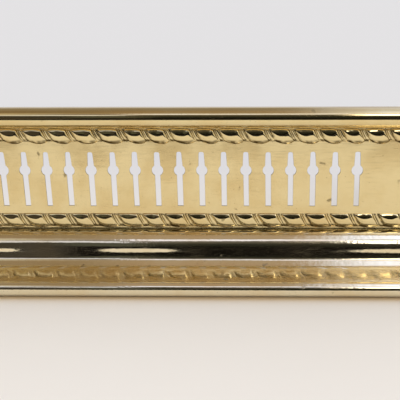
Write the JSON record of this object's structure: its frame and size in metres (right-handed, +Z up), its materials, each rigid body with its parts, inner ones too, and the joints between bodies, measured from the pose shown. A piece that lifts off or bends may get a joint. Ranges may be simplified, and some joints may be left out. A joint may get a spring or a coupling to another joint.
{
  "type": "fireplace fender",
  "caption": "Low three-sided brass fireplace fender with an ogee base moulding, a pierced gallery between two rope bands and a half-round top rail.",
  "frame": {"origin": "middle of the footprint, on the floor", "axes": "+X along the front, +Y from the front towards the fireplace wall, +Z up"},
  "size_m": [1.22, 0.33, 0.1513],
  "materials": {
    "polished_brass": "mirror polished with fine wipe marks",
    "gallery_brass": "polished and softened to satin by wear",
    "black_iron": "blackened and matt",
    "steel": "dull bare steel"
  },
  "bodies": {
    "root": {"base_angle_front": "black_iron", "base_angle_left": "black_iron", "base_angle_right": "black_iron", "base_corner_plate_left": "black_iron", "base_corner_plate_right": "black_iron", "base_moulding_front": "polished_brass", "base_moulding_left": "polished_brass", "base_moulding_right": "polished_brass", "base_nut_centre": "steel", "base_nut_front_left": "steel", "base_nut_front_right": "steel", "base_nut_rear_left": "steel", "base_nut_rear_right": "steel", "base_screw_centre": "steel", "base_screw_front_left": "steel", "base_screw_front_right": "steel", "base_screw_rear_left": "steel", "base_screw_rear_right": "steel", "bracket_screw_left_front": "steel", "bracket_screw_left_return": "steel", "bracket_screw_right_front": "steel", "bracket_screw_right_return": "steel", "corner_rivet_left_front": "black_iron", "corner_rivet_left_return": "black_iron", "corner_rivet_right_front": "black_iron", "corner_rivet_right_return": "black_iron", "end_plate_left": "polished_brass", "end_plate_right": "polished_brass", "gallery_corner_left": "gallery_brass", "gallery_corner_right": "gallery_brass", "gallery_front": "gallery_brass", "gallery_left": "gallery_brass", "gallery_right": "gallery_brass", "packing_washer_centre": "steel", "packing_washer_front_left": "steel", "packing_washer_front_right": "steel", "packing_washer_rear_left": "steel", "packing_washer_rear_right": "steel", "rail_core_front": "black_iron", "rail_core_left": "black_iron", "rail_core_right": "black_iron", "rail_corner_bracket_left": "black_iron", "rail_corner_bracket_right": "black_iron", "rail_screw_centre": "steel", "rail_screw_front_left": "steel", "rail_screw_front_right": "steel", "rail_screw_rear_left": "steel", "rail_screw_rear_right": "steel", "stay_centre": "black_iron", "stay_front_left": "black_iron", "stay_front_right": "black_iron", "stay_rear_left": "black_iron", "stay_rear_right": "black_iron", "top_rail_front": "polished_brass", "top_rail_left": "polished_brass", "top_rail_right": "polished_brass"}
  },
  "joints": []
}
